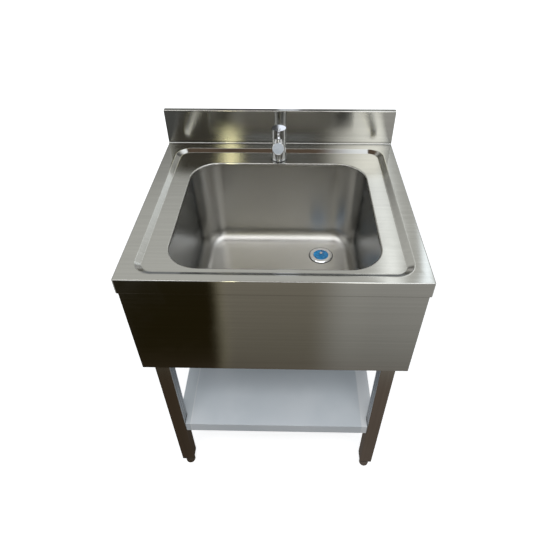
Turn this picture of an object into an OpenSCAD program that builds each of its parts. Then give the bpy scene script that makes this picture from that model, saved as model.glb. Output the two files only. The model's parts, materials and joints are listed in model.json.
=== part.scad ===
// Free-standing stainless sink: one deep bowl, an upstand, a mixer tap, an apron and an undershelf.
// Millimetres, +Z up. The origin is on the floor, under the middle of the worktop; the front faces -Y.

/* [Worktop] */
// Width of the worktop, side to side
width = 700; // [690:5:760]
// Depth of the worktop, front to back
depth = 650; // [640:5:700]
// Height of the worktop above the floor
height = 870; // [820:10:920]
// Height of the upstand above the worktop
upstand_h = 105; // [60:5:150]
// Depth of the folded upstand box
upstand_d = 17; // [14:1:20]
// Height of the folded lip around the worktop
lip_h = 42; // [40:1:50]
// Thickness of the worktop and bowl sheet
sheet = 1.2; // [1:0.1:1.5]
// Depth of the pressed recess around the bowl
recess_d = 8; // [6:0.5:9]

/* [Bowl] */
// Width of the bowl opening
bowl_w = 501; // [460:1:504]
// Length of the bowl opening, front to back
bowl_l = 467; // [420:1:468]
// Corner radius of the bowl opening
bowl_r = 80; // [65:1:95]
// Depth of the bowl below the recess floor
bowl_depth = 270; // [220:5:280]
// Radius between the bowl's walls and floor
bowl_fillet = 40; // [25:1:45]

/* [Apron, legs and shelf] */
// Depth of the apron, from the top of the worktop to its lower edge
apron_drop = 317; // [300:1:330]
// Thickness of the apron sheet
apron_t = 1; // [0.8:0.1:1.2]
// Outside width of the square leg tube
leg_w = 38; // [36:1:39]
// Wall thickness of the leg tube
leg_wall = 1.2; // [1:0.1:1.5]
// Height of the shelf's top above the floor
shelf_z = 263; // [200:1:320]
// Height of the shelf's folded lip
shelf_lip = 37; // [30:1:40]

/* [Tap] */
// Height of the tap body, from the recess floor to the handle
tap_h = 69.5; // [66:0.5:80]
// Outside radius of the tap body
tap_r = 20; // [19:0.5:21]
// Length of the spout from the tap's axis
spout_l = 80; // [70:1:120]
// Angle at which the spout and the lever rise
spout_rise = 23; // [15:1:25]
// Length of the lever from its hinge
lever_l = 62; // [50:1:80]

/* [Hidden] */
$fn = 64;
// Overlap used where one shape cuts through another
cut = 1;

steel = "lightsteelblue";
chrome = "silver";
dark_plastic = "dimgray";

// Worktop outline and levels
half_w = width / 2;
front_y = -depth / 2;
back_y = depth / 2;
upstand_y = back_y - upstand_d;
top_z = height + upstand_h;
lip_z = height - lip_h;

// Pressed recess: plain rim at the sides and back, a narrower rim at the front, a sloping step
rim = 35;
rim_front = 21.5;
step_w = 15;
recess_r = 45;
recess_z = height - recess_d;
recess_x = half_w - rim;
recess_front = front_y + rim_front;
recess_back = upstand_y - rim;
under_z = recess_z - sheet;

// Bowl
bowl_front = front_y + 52;
bowl_back = bowl_front + bowl_l;
bowl_floor = recess_z - bowl_depth;
bowl_flange = 8;
draft = 8;

// Waste, 1 1/2 inch pipe thread, near the rear right corner of the bowl
waste_x = bowl_w / 2 - 115.5;
waste_y = bowl_back - 103;
waste_r = 23.9;
waste_neck_r = 24.4;
waste_bore = 21.5;
waste_flange_r = 36.5;
waste_hole_r = 25;
waste_len = 48;
seal_t = 1;
waste_seal_t = 2;
waste_nut_h = 8;
waste_neck = seal_t + sheet + waste_seal_t + waste_nut_h + 1;
basket_rim_r = 23.5;
basket_r = 19;
basket_seat = bowl_floor + seal_t + 0.6;

// Frame rails
rail_w = 42;
rail_h = 24;
rail_t = 1.5;
rail_z = under_z - rail_h;
rail_out = 314;
rail_in = rail_out - rail_w;
rail_front_y = front_y + 5;
rail_rear_y = upstand_y - 58;
rail_depth = 30;

// Apron
apron_z = height - apron_drop;
apron_x = half_w - 5;
apron_y = front_y + 3;
apron_back = back_y - 25;
apron_fold = 13;

// Legs
leg_x = rail_out - leg_w;
leg_front_y = front_y + 4.5;
leg_rear_y = back_y - 25 - leg_w;
leg_bore = leg_w - 2 * leg_wall;
leg_z = 46;
socket_t = 3;
leg_top = rail_z - socket_t;
socket_w = leg_bore - 0.6;
socket_len = 50;
socket_wall = 2;
leg_screw_r = 3;
leg_screw_hole_r = 3.2;
leg_screw_drops = [14, 36];

// Feet
plug_t = 3;
plug_len = 30;
stud_r = 5;
stud_hole_r = 5.05;
stud_z = 10;
stud_len = 80;
pad_r = 15;
pad_h = 40;

// Shelf
shelf_t = 1.2;
shelf_x = leg_x + leg_w / 2 + 2;
shelf_front = leg_front_y + 2.5;
shelf_back = leg_rear_y + leg_w - 2.5;
gap = 0.5;
shelf_hole_r = 3.3;
shelf_bolt_r = 3;
rivet_nut_r = 4.5;
shelf_bolt_z = shelf_z - 20;

// Rivets
rivet_r = 2.4;
rivet_hole_r = 2.5;
rivet_head_r = 4.5;

// Tap, on the ledge behind the bowl
tap_y = upstand_y - 84;
tap_z = recess_z;
tap_hole_r = 17.5;
tap_seal_t = 1.5;
cartridge_r = 14.8;
cartridge_bore = 15;
cartridge_z = 30;
cartridge_top = tap_h - 9.5;
spout_r = 17;
spout_bore = 11.5;
spout_z = 40;
outlet_at = spout_l - 17;
outlet_r = 13;
outlet_bore = 11;
outlet_len = 20;
handle_r = 20.8;
handle_bore = 18;
handle_z = tap_h + 1;
handle_h = 28;
handle_top_t = 3;
lever_r = 3.5;
lever_y = -8;
lever_z = tap_h + 14.5;
hinge_r = 2;
hinge_hole_r = 2.05;
knuckle_r = 4.5;
stem_r = 5;
stem_hole_r = 5.05;
stem_in = 12;
stem_grip = 7;
hose_r = 5;
hose_x = 8;
hose_y = -5;
tap_stud_r = 4;
tap_stud_y = 9;
tap_stud_len = 55;
socket_in = 14;
clamp_r = 20;
clamp_t = 4;
hose_len = 292;
hose_spread = 50;
ferrule_share = 0.07;
hose_nut_bore = 9.5;

// ---- Shared shapes ----

// Rectangle with rounded corners, from corner (x0, y0) to corner (x1, y1)
module rounded_rect(x0, y0, x1, y1, r) {
    translate([x0 + r, y0]) square([x1 - x0 - 2 * r, y1 - y0]);
    translate([x0, y0 + r]) square([x1 - x0, y1 - y0 - 2 * r]);
    for (x = [x0 + r, x1 - r], y = [y0 + r, y1 - r]) translate([x, y]) circle(r);
}

// Box between two corners
module block(low, high) {
    translate(low) cube(high - low);
}

// Square tube standing on z0
module square_tube(w, wall, z0, z1) {
    difference() {
        block([0, 0, z0], [w, w, z1]);
        block([wall, wall, z0 - cut], [w - wall, w - wall, z1 + cut]);
    }
}

// Outline of the recess, drawn in from its outer edge
module recess_outline(inset) {
    rounded_rect(
        -recess_x + inset, recess_front + inset, recess_x - inset, recess_back - inset, recess_r - inset
    );
}

// Outline of the bowl opening, grown outwards
module bowl_outline(grow) {
    rounded_rect(
        -bowl_w / 2 - grow, bowl_front - grow, bowl_w / 2 + grow, bowl_back + grow, bowl_r + grow
    );
}

// Drafted, round-bottomed solid that fills the bowl, grown outwards by the wall thickness
module bowl_form(grow, top) {
    corner_r = bowl_r - draft;
    fillet = bowl_fillet + grow;
    hull() {
        translate([0, 0, top]) linear_extrude(cut) bowl_outline(grow);
        for (x = [-1, 1] * (bowl_w / 2 - bowl_r), y = [bowl_front + bowl_r, bowl_back - bowl_r])
            translate([x, y, bowl_floor + bowl_fillet])
                rotate_extrude($fn = 48)
                    translate([corner_r - bowl_fillet, 0]) intersection() {
                        circle(fillet, $fn = 32);
                        translate([0, -fillet]) square(2 * fillet);
                    }
    }
}

// Channel with its open side facing +Y, lying along X from 0 to length
module channel(length, w, h, t) {
    difference() {
        cube([length, w, h]);
        translate([-cut, t, t]) cube([length + 2 * cut, w, h - 2 * t]);
    }
}

// Ring standing on z = 0
module ring(r_out, r_in, h) {
    difference() {
        cylinder(r = r_out, h = h);
        translate([0, 0, -cut]) cylinder(r = r_in, h = h + 2 * cut);
    }
}

// Hexagonal nut with a round bore, standing on z = 0
module hex_nut(across_flats, r_in, h) {
    difference() {
        cylinder(r = across_flats / sqrt(3), h = h, $fn = 6);
        translate([0, 0, -cut]) cylinder(r = r_in, h = h + 2 * cut);
    }
}

// Places a shape built for the front left corner at one corner of the frame
module at_corner(side, end) {
    low_y = end == "front" ? leg_front_y : leg_rear_y;
    low_x = side == "left" ? -leg_x - leg_w : leg_x;
    translate([low_x, low_y, 0]) children();
}

// ---- Worktop and bowl ----

module worktop() {
    color(steel) difference() {
        union() {
            difference() {
                block([-half_w, front_y, lip_z], [half_w, upstand_y + sheet, height]);
                block(
                    [-half_w + sheet, front_y + sheet, lip_z - cut],
                    [half_w - sheet, upstand_y + sheet + cut, height - sheet]
                );
                translate([0, 0, lip_z]) linear_extrude(lip_h + cut) recess_outline(0);
            }
            recess_tray();
            upstand();
        }
        translate([0, 0, under_z - cut]) linear_extrude(sheet + 2 * cut) bowl_outline(0);
        translate([0, tap_y, under_z - cut]) cylinder(r = tap_hole_r, h = sheet + 2 * cut);
    }
}

// Floor of the recess and the sloping step around it
module recess_tray() {
    difference() {
        hull() {
            translate([0, 0, height - sheet]) linear_extrude(sheet) recess_outline(-sheet);
            translate([0, 0, under_z]) linear_extrude(sheet / 2) recess_outline(step_w - sheet);
        }
        hull() {
            translate([0, 0, height]) linear_extrude(cut) recess_outline(0);
            translate([0, 0, recess_z]) linear_extrude(sheet / 10) recess_outline(step_w);
        }
    }
}

// Folded upstand: front wall, top and back wall
module upstand() {
    block([-half_w, upstand_y, height - sheet], [half_w, upstand_y + sheet, top_z]);
    block([-half_w, upstand_y, top_z - sheet], [half_w, back_y, top_z]);
    block([-half_w, back_y - sheet, lip_z], [half_w, back_y, top_z]);
    for (x = [-half_w, half_w - sheet])
        block([x, upstand_y, lip_z], [x + sheet, back_y, height]);
}

// Plate that closes one end of the upstand box
module upstand_end(x) {
    color(steel) block([x, upstand_y + sheet, height], [x + sheet, back_y - sheet, top_z - sheet]);
}

module upstand_end_left() {
    upstand_end(-half_w);
}

module upstand_end_right() {
    upstand_end(half_w - sheet);
}

module bowl() {
    color(steel) difference() {
        union() {
            bowl_form(sheet, under_z - sheet - cut);
            translate([0, 0, under_z - sheet]) linear_extrude(sheet) bowl_outline(bowl_flange);
        }
        bowl_form(0, under_z);
        at_waste(bowl_floor - sheet - cut) cylinder(r = waste_hole_r, h = sheet + 2 * cut);
    }
}

// Sound-deadening pad glued under the bowl
module bowl_damping_pad() {
    pad_t = 4;
    color(dark_plastic) translate([0, 0, bowl_floor - sheet - pad_t])
        linear_extrude(pad_t) rounded_rect(-180, -180, 50, 80, 15);
}

// ---- Frame under the worktop ----

module rail_front() {
    color(steel) difference() {
        translate([-rail_in, rail_front_y, rail_z]) channel(2 * rail_in, rail_depth, rail_h, rail_t);
        apron_rivet_places("front") rivet_hole();
    }
}

module rail_rear() {
    color(steel) translate([-rail_in, rail_rear_y, rail_z]) channel(2 * rail_in, rail_depth, rail_h, rail_t);
}

// Side rail with its open side facing the bowl
module side_rail(side) {
    color(steel) difference() {
        mirror([side == "left" ? 1 : 0, 0, 0])
            translate([rail_out, rail_front_y, rail_z]) rotate(90)
                channel(apron_back - rail_front_y, rail_w, rail_h, rail_t);
        apron_rivet_places(side) rivet_hole();
    }
}

module rail_left() {
    side_rail("left");
}

module rail_right() {
    side_rail("right");
}

// ---- Apron ----

module apron_front() {
    color(steel) difference() {
        union() {
            block([-apron_x, apron_y, apron_z], [apron_x, apron_y + apron_t, rail_z]);
            block([-rail_in + 4, apron_y, apron_z], [rail_in - 4, apron_y + apron_fold, apron_z + apron_t]);
            block([-rail_in + 10, apron_y, rail_z - apron_t], [rail_in - 10, apron_y + 27, rail_z]);
        }
        apron_rivet_places("front") rivet_hole();
    }
}

// Side panel: a sheet with folds at its top, bottom, front and back
module apron_side(side) {
    inner_x = apron_x - apron_t;
    joint_y = apron_y + apron_t;
    color(steel) difference() {
        mirror([side == "left" ? 1 : 0, 0, 0]) {
            block([inner_x, joint_y, apron_z], [apron_x, apron_back, rail_z]);
            block([apron_x - apron_fold, joint_y, apron_z], [apron_x, apron_back, apron_z + apron_t]);
            block([apron_x - apron_fold, joint_y, apron_z], [apron_x, joint_y + apron_t, rail_z]);
            block([apron_x - apron_fold, apron_back - apron_t, apron_z], [apron_x, apron_back, rail_z]);
            block([rail_in + 20, -depth / 2 + 62, rail_z - apron_t], [apron_x, back_y - 80, rail_z]);
        }
        apron_rivet_places(side) rivet_hole();
    }
}

module apron_left() {
    apron_side("left");
}

module apron_right() {
    apron_side("right");
}

// Places a rivet under the rail of one panel of the apron
module apron_rivet_places(panel) {
    if (panel == "front") for (x = [-210, -70, 70, 210])
        translate([x, apron_y + 18, rail_z]) children();
    else for (y = [-220, 0, 200])
        translate([(panel == "left" ? -1 : 1) * (rail_out - 12), y, rail_z]) children();
}

module rivet_hole() {
    translate([0, 0, -2 * apron_t]) cylinder(r = rivet_hole_r, h = 2 * apron_t + rail_t + cut);
}

// Blind rivet: a head under the apron's fold and a bulb above the rail's flange
module rivet() {
    head_t = 1.4;
    translate([0, 0, -apron_t - head_t]) cylinder(r = rivet_head_r, h = head_t);
    translate([0, 0, -apron_t]) cylinder(r = rivet_r, h = apron_t + rail_t);
    translate([0, 0, rail_t]) cylinder(r = rivet_head_r - 0.8, h = 4);
}

module apron_rivets() {
    color(chrome) for (panel = ["front", "left", "right"]) apron_rivet_places(panel) rivet();
}

// ---- Legs, sockets and feet ----

// Places a shape on the inner face of a leg, pointing in towards the middle along -X, at height z
module on_inner_face(side, end, z) {
    low_y = end == "front" ? leg_front_y : leg_rear_y;
    mirror([side == "left" ? 1 : 0, 0, 0])
        translate([leg_x, low_y + leg_w / 2, z]) rotate([0, -90, 0]) children();
}

// Hole through the inner wall of a leg and whatever lies behind it
module inner_hole(r) {
    translate([0, 0, -leg_wall - socket_wall - cut]) cylinder(r = r, h = leg_wall + socket_wall + 3 * cut);
}

module leg(side, end) {
    color(steel) difference() {
        at_corner(side, end) square_tube(leg_w, leg_wall, leg_z, leg_top);
        for (drop = leg_screw_drops) on_inner_face(side, end, leg_top - drop) inner_hole(leg_screw_hole_r);
        on_inner_face(side, end, shelf_bolt_z) inner_hole(rivet_nut_r);
    }
}

// Socket welded under the rails: a plate with a square spigot that the leg slides over
module leg_socket(side, end) {
    inset = (leg_w - socket_w) / 2;
    color(steel) difference() {
        at_corner(side, end) {
            block([0, 0, leg_top], [leg_w, leg_w, rail_z]);
            translate([inset, inset, 0]) square_tube(socket_w, socket_wall, leg_top - socket_len, leg_top);
        }
        for (drop = leg_screw_drops) on_inner_face(side, end, leg_top - drop) inner_hole(leg_screw_hole_r);
    }
}

// Socket screws through the leg into the spigot
module leg_screws() {
    head_h = 3;
    key_r = 1.8;
    color(chrome) for (side = ["left", "right"], end = ["front", "rear"], drop = leg_screw_drops)
        on_inner_face(side, end, leg_top - drop) difference() {
            union() {
                translate([0, 0, -7]) cylinder(r = leg_screw_r, h = 7);
                cylinder(r = 5, h = head_h);
            }
            translate([0, 0, head_h - 1.5]) cylinder(r = key_r, h = 1.5 + cut, $fn = 6);
        }
}

// Plastic plug in the foot of the leg, with the bore that takes the foot's stud
module leg_plug(side, end) {
    rib = 3;
    core = 18;
    color(dark_plastic) at_corner(side, end) difference() {
        union() {
            block([0, 0, leg_z - plug_t], [leg_w, leg_w, leg_z]);
            translate([leg_wall, leg_wall, 0]) square_tube(leg_bore, rib, leg_z, leg_z + plug_len);
            translate([(leg_w - core) / 2, (leg_w - core) / 2, leg_z]) cube([core, core, plug_len]);
            translate([leg_wall + rib, (leg_w - rib) / 2, leg_z]) cube([leg_bore - 2 * rib, rib, plug_len]);
            translate([(leg_w - rib) / 2, leg_wall + rib, leg_z]) cube([rib, leg_bore - 2 * rib, plug_len]);
        }
        translate([leg_w / 2, leg_w / 2, leg_z - plug_t - cut])
            cylinder(r = stud_hole_r, h = plug_len + plug_t + 2 * cut);
    }
}

module foot_stud(side, end) {
    color(chrome) at_corner(side, end) translate([leg_w / 2, leg_w / 2, stud_z])
        cylinder(r = stud_r, h = stud_len);
}

// Bullet-shaped pad pressed on the stud
module foot_pad(side, end) {
    edge = 7;
    color(dark_plastic) at_corner(side, end) translate([leg_w / 2, leg_w / 2, 0]) difference() {
        rotate_extrude() {
            translate([0, edge]) square([pad_r, pad_h - edge - 2]);
            square([pad_r - edge, pad_h - 2]);
            translate([0, pad_h - 2]) square([pad_r - 2, 2]);
            intersection() {
                translate([pad_r - edge, edge]) circle(edge);
                square([pad_r, edge]);
            }
        }
        translate([0, 0, stud_z]) cylinder(r = stud_r, h = pad_h);
    }
}

// ---- Shelf ----

module shelf() {
    notch_x = leg_x - gap;
    front_notch = leg_front_y + leg_w + gap;
    rear_notch = leg_rear_y - gap;
    low_z = shelf_z - shelf_lip;
    color("white") difference() {
        union() {
            difference() {
                block([-shelf_x, shelf_front, low_z], [shelf_x, shelf_back, shelf_z]);
                block(
                    [-shelf_x + shelf_t, shelf_front + shelf_t, low_z - cut],
                    [shelf_x - shelf_t, shelf_back - shelf_t, shelf_z - shelf_t]
                );
                for (x = [-half_w, notch_x], y = [front_y, rear_notch])
                    block(
                        [x, y, low_z - cut],
                        [x + half_w - notch_x, y + front_notch - front_y, shelf_z + cut]
                    );
            }
            for (side = [-1, 1], y = [[shelf_front, front_notch], [rear_notch, shelf_back]])
                block(
                    [side * (notch_x - shelf_t / 2) - shelf_t / 2, y[0], low_z],
                    [side * (notch_x - shelf_t / 2) + shelf_t / 2, y[1], shelf_z]
                );
            for (x = [-shelf_x, notch_x - shelf_t], y = [front_notch, rear_notch - shelf_t])
                block([x, y, low_z], [x + shelf_x - notch_x + shelf_t, y + shelf_t, shelf_z]);
        }
        for (side = ["left", "right"], end = ["front", "rear"])
            on_inner_face(side, end, shelf_bolt_z) cylinder(r = shelf_hole_r, h = 4);
    }
}

// Channel welded across the underside of the shelf
module shelf_stiffener() {
    half_l = shelf_x - 4;
    half_channel = 30;
    channel_h = 25;
    weld_z = shelf_z - shelf_t;
    color(steel) difference() {
        block([-half_l, -half_channel, weld_z - channel_h], [half_l, half_channel, weld_z]);
        block(
            [-half_l - cut, -half_channel + shelf_t, weld_z - channel_h + shelf_t],
            [half_l + cut, half_channel - shelf_t, weld_z + cut]
        );
    }
}

module shelf_bolts() {
    washer_z = gap + shelf_t;
    color(chrome) for (side = ["left", "right"], end = ["front", "rear"])
        on_inner_face(side, end, shelf_bolt_z) {
            translate([0, 0, -10]) cylinder(r = shelf_bolt_r, h = 10 + washer_z);
            translate([0, 0, washer_z]) cylinder(r = 5.5, h = 4, $fn = 6);
        }
}

// Rivet nut set in the leg wall, which the shelf bolt screws into
module shelf_rivet_nuts() {
    color(chrome) for (side = ["left", "right"], end = ["front", "rear"])
        on_inner_face(side, end, shelf_bolt_z) {
            translate([0, 0, -leg_wall]) ring(rivet_nut_r, shelf_bolt_r, leg_wall);
            translate([0, 0, -leg_wall - 10]) ring(rivet_nut_r + 1, shelf_bolt_r, 10);
        }
}

// ---- Waste and strainer ----

module at_waste(z) {
    translate([waste_x, waste_y, z]) children();
}

// Dished flange with a sleeve through the bowl's floor: a plain neck, and a thread below the nut
module waste_flange() {
    rise = 2.6;
    seat = 0.6;
    color(chrome) at_waste(bowl_floor + seal_t) difference() {
        rotate_extrude() polygon([
            [waste_bore, -waste_len], [waste_r, -waste_len], [waste_r, -waste_neck],
            [waste_neck_r, -waste_neck], [waste_neck_r, 0], [waste_flange_r, 0],
            [waste_flange_r, seat], [waste_flange_r - 3, rise], [waste_bore, rise],
        ]);
        translate([0, 0, seat]) cylinder(r = basket_rim_r + 0.5, h = rise);
    }
}

// Rubber rings above and below the bowl's floor
module waste_seals() {
    color(dark_plastic) {
        at_waste(bowl_floor) ring(waste_flange_r + 2, waste_hole_r, seal_t);
        at_waste(bowl_floor - sheet - waste_seal_t) ring(waste_flange_r - 2, waste_neck_r, waste_seal_t);
    }
}

module waste_nut() {
    color(chrome) at_waste(bowl_floor - sheet - waste_seal_t - waste_nut_h)
        hex_nut(62, waste_neck_r, waste_nut_h);
}

// Lift-out basket with a ring of drain holes in its floor
module strainer_basket() {
    rim_t = 1.6;
    cup = 14;
    wall = 1;
    color("royalblue") at_waste(basket_seat) difference() {
        union() {
            cylinder(r = basket_rim_r, h = rim_t);
            translate([0, 0, -cup]) cylinder(r = basket_r, h = cup);
        }
        translate([0, 0, -cup + wall]) cylinder(r = basket_r - wall, h = cup - wall);
        for (a = [0:45:315]) rotate(a) translate([basket_r - 7, 0, -cup - cut])
            cylinder(r = 2, h = wall + 2 * cut);
    }
}

// Finger knob in the middle of the strainer
module strainer_knob() {
    stem = 5;
    color(chrome) at_waste(basket_seat + 1.6) {
        cylinder(r = 2.5, h = stem);
        translate([0, 0, stem]) cylinder(r1 = 3.2, r2 = 4.5, h = 3);
        translate([0, 0, stem + 3]) cylinder(r1 = 4.5, r2 = 3, h = 1.5);
    }
}

// ---- Tap ----

module at_tap() {
    translate([0, tap_y, tap_z]) children();
}

// Turns a shape built along +Z to lie along the rising spout
module along_spout(y, z) {
    translate([0, y, z]) rotate([90 - spout_rise, 0, 0]) children();
}

module tap_body() {
    color(chrome) at_tap() difference() {
        union() {
            translate([0, 0, tap_seal_t]) cylinder(r = tap_r, h = tap_h - tap_seal_t);
            translate([0, 0, tap_seal_t]) cylinder(r = tap_r + 2.5, h = 3);
        }
        translate([0, 0, cartridge_z]) cylinder(r = cartridge_bore, h = tap_h);
        along_spout(0, spout_z) cylinder(r = 8, h = tap_r + 10);
        for (x = [-hose_x, hose_x]) translate([x, hose_y, 0]) cylinder(r = hose_r, h = socket_in);
        translate([0, tap_stud_y, 0]) cylinder(r = tap_stud_r, h = socket_in);
    }
}

module tap_base_seal() {
    color(dark_plastic) at_tap() ring(tap_r + 1, tap_hole_r, tap_seal_t);
}

// Rising spout with its outlet underneath
module tap_spout() {
    color(chrome) at_tap() difference() {
        union() {
            along_spout(0, spout_z) cylinder(r = spout_r, h = spout_l);
            spout_outlet_place() cylinder(r = outlet_r, h = outlet_len);
        }
        cylinder(r = tap_r, h = tap_h);
        along_spout(0, spout_z) cylinder(r = spout_bore, h = spout_l + cut);
        spout_outlet_place() cylinder(r = outlet_bore, h = outlet_len + cut);
    }
}

// Places a shape at the outlet, square to the spout and pointing down
module spout_outlet_place() {
    along_spout(0, spout_z) translate([0, 0, outlet_at]) rotate([90, 0, 0]) mirror([0, 0, 1]) children();
}

module spout_end_cap() {
    cap_t = 2;
    edge = 1.5;
    color(chrome) at_tap() along_spout(0, spout_z) translate([0, 0, spout_l]) {
        translate([0, 0, -3]) cylinder(r = spout_bore, h = 3);
        cylinder(r = spout_r, h = cap_t - edge);
        translate([0, 0, cap_t - edge]) cylinder(r1 = spout_r, r2 = spout_r - edge, h = edge);
    }
}

// Aerator: a threaded sleeve with a knurled lip and a screen
module aerator() {
    lip = 5;
    color(chrome) at_tap() spout_outlet_place() {
        translate([0, 0, outlet_len - 6]) ring(outlet_bore, outlet_bore - 1.5, 6);
        translate([0, 0, outlet_len]) ring(outlet_bore + 1, outlet_bore - 2.5, lip);
        translate([0, 0, outlet_len + 1]) difference() {
            cylinder(r = outlet_bore - 2.5, h = 1.2);
            for (x = [-4:4:4], y = [-4:4:4]) translate([x, y, -cut]) cylinder(r = 1.2, h = 1.2 + 2 * cut);
        }
    }
}

module tap_cartridge() {
    color("whitesmoke") at_tap() difference() {
        translate([0, 0, cartridge_z]) cylinder(r = cartridge_r, h = cartridge_top - cartridge_z);
        translate([0, 0, cartridge_top - stem_in]) cylinder(r = stem_hole_r, h = stem_in + cut);
    }
}

module cartridge_nut() {
    color("goldenrod") at_tap() translate([0, 0, cartridge_top]) ring(cartridge_bore, stem_r + 2, 7);
}

// Stem that the handle turns in the cartridge
module lever_stem() {
    color(chrome) at_tap() translate([0, 0, cartridge_top - stem_in])
        cylinder(r = stem_r, h = handle_z + stem_grip - cartridge_top + stem_in);
}

// Handle cap, slotted at the front for the lever, with a hub that grips the stem and holds the hinge pin
module tap_handle() {
    half_slot = lever_r + 0.7;
    half_hub = 8;
    hub_r = 8;
    room = knuckle_r + 1;
    inside_z = handle_z + handle_h - handle_top_t;
    color(chrome) at_tap() difference() {
        union() {
            translate([0, 0, handle_z]) difference() {
                cylinder(r = handle_r, h = handle_h);
                translate([0, 0, -cut]) cylinder(r = handle_bore, h = handle_h - handle_top_t + cut);
            }
            translate([0, 0, handle_z + 2]) cylinder(r = hub_r, h = handle_h - handle_top_t - 2);
            block([-half_hub, lever_y - room, lever_z - room], [half_hub, 0, inside_z]);
        }
        translate([0, 0, handle_z]) cylinder(r = stem_r, h = stem_grip);
        lever_axis() cylinder(r = hinge_r, h = 4 * half_hub, center = true);
        block(
            [-half_slot, -2 * handle_r, lever_z - 0.5],
            [half_slot, lever_y + room, handle_z + handle_h + cut]
        );
        block([-half_slot, lever_y - room - cut, lever_z - room], [half_slot, lever_y + room, lever_z]);
    }
}

// Turns a shape built along +Z to lie on the lever's hinge
module lever_axis() {
    translate([0, lever_y, lever_z]) rotate([0, 90, 0]) children();
}

module lever_hinge_pin() {
    color(chrome) at_tap() lever_axis() cylinder(r = hinge_r, h = 15, center = true);
}

// Slim lever with a round end, and the knuckle it turns on
module lever_pin() {
    knuckle_w = 7.6;
    color(chrome) at_tap() difference() {
        union() {
            along_spout(lever_y, lever_z) {
                cylinder(r = lever_r, h = lever_l - lever_r);
                translate([0, 0, lever_l - lever_r]) sphere(lever_r);
            }
            lever_axis() cylinder(r = knuckle_r, h = knuckle_w, center = true);
        }
        lever_axis() cylinder(r = hinge_hole_r, h = 2 * knuckle_w, center = true);
    }
}

module tap_stud() {
    color(chrome) at_tap() translate([0, tap_stud_y, -tap_stud_len])
        cylinder(r = tap_stud_r, h = tap_stud_len + socket_in);
}

// Horseshoe plate that clamps the tap to the underside of the ledge
module tap_clamp_washer() {
    room = hose_r + 1;
    color(steel) at_tap() translate([0, 0, -sheet - clamp_t]) difference() {
        cylinder(r = clamp_r, h = clamp_t);
        translate([0, tap_stud_y, -cut]) cylinder(r = tap_stud_r + 0.2, h = clamp_t + 2 * cut);
        block([-hose_x - room, -2 * clamp_r, -cut], [hose_x + room, hose_y + room, clamp_t + cut]);
    }
}

module tap_clamp_nut() {
    nut_h = 6.5;
    color(chrome) at_tap() translate([0, tap_stud_y, -sheet - clamp_t - nut_h])
        hex_nut(13, tap_stud_r, nut_h);
}

// Share of its sideways travel that a hose has made at a share t of its length
function hose_ease(t) = let (s = min(1, max(0, (t - 0.2) / 0.55))) s * s * (3 - 2 * s);

// Middle of the hose at a share t of its length
function hose_point(t) = [hose_x + hose_spread * hose_ease(t), hose_y, socket_in - t * hose_len];

// Angle of the hose away from the vertical
function hose_tilt(t) = let (d = hose_point(t + 0.01) - hose_point(t - 0.01)) atan2(d[0], -d[2]);

// Outside radius of the hose: wider over the crimped ferrule at its lower end
function hose_radius(t) = t > 1 - ferrule_share ? hose_r + 1.5 : hose_r;

// Flexible hose, swept as rings along its path
module supply_hose(side) {
    rings = 40;
    sides = 20;
    ring_points = [
        for (i = [0:rings], j = [0:sides - 1])
            let (t = i / rings, a = 360 * j / sides, tilt = hose_tilt(t), r = hose_radius(t))
                hose_point(t) + [r * cos(a) * cos(tilt), r * sin(a), r * cos(a) * sin(tilt)]
    ];
    walls = [
        for (i = [0:rings - 1], j = [0:sides - 1])
            let (k = (j + 1) % sides, low = i * sides, high = low + sides)
                [low + j, low + k, high + k, high + j]
    ];
    top_end = [for (j = [sides - 1:-1:0]) j];
    low_end = [for (j = [0:sides - 1]) rings * sides + j];
    at_tap() mirror([side == "left" ? 1 : 0, 0, 0])
        polyhedron(points = ring_points, faces = concat(walls, [top_end, low_end]));
}

module supply_hose_cold() {
    color("steelblue") supply_hose("right");
}

module supply_hose_hot() {
    color("indianred") supply_hose("left");
}

// Swivel nuts on the lower ends of the two hoses
module supply_nuts() {
    nut_h = 16;
    end = hose_point(1);
    color(chrome) at_tap() for (side = [-1, 1])
        translate([side * end[0], end[1], end[2] - nut_h]) difference() {
            cylinder(r = 24 / sqrt(3), h = nut_h, $fn = 6);
            translate([0, 0, -cut]) cylinder(r = hose_nut_bore, h = 12 + cut);
            translate([0, 0, 12 - cut]) cylinder(r = hose_r, h = nut_h);
        }
}

// ---- Every node ----

worktop();
upstand_end_left();
upstand_end_right();
bowl();
bowl_damping_pad();
rail_front();
rail_rear();
rail_left();
rail_right();
apron_front();
apron_left();
apron_right();
apron_rivets();
for (side = ["left", "right"], end = ["front", "rear"]) {
    place = str(end, "_", side);
    leg(side, end);
    leg_socket(side, end);
    leg_plug(side, end);
    foot_stud(side, end);
    foot_pad(side, end);
}
leg_screws();
shelf();
shelf_stiffener();
shelf_bolts();
shelf_rivet_nuts();
waste_flange();
waste_seals();
waste_nut();
strainer_basket();
strainer_knob();
tap_body();
tap_base_seal();
tap_spout();
spout_end_cap();
aerator();
tap_cartridge();
cartridge_nut();
tap_handle();
lever_stem();
lever_hinge_pin();
lever_pin();
tap_stud();
tap_clamp_washer();
tap_clamp_nut();
supply_hose_cold();
supply_hose_hot();
supply_nuts();
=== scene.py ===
"""Looks of a free-standing stainless sink: brushed sheet, satin bowl, chrome tap, white undershelf."""

import math

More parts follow.
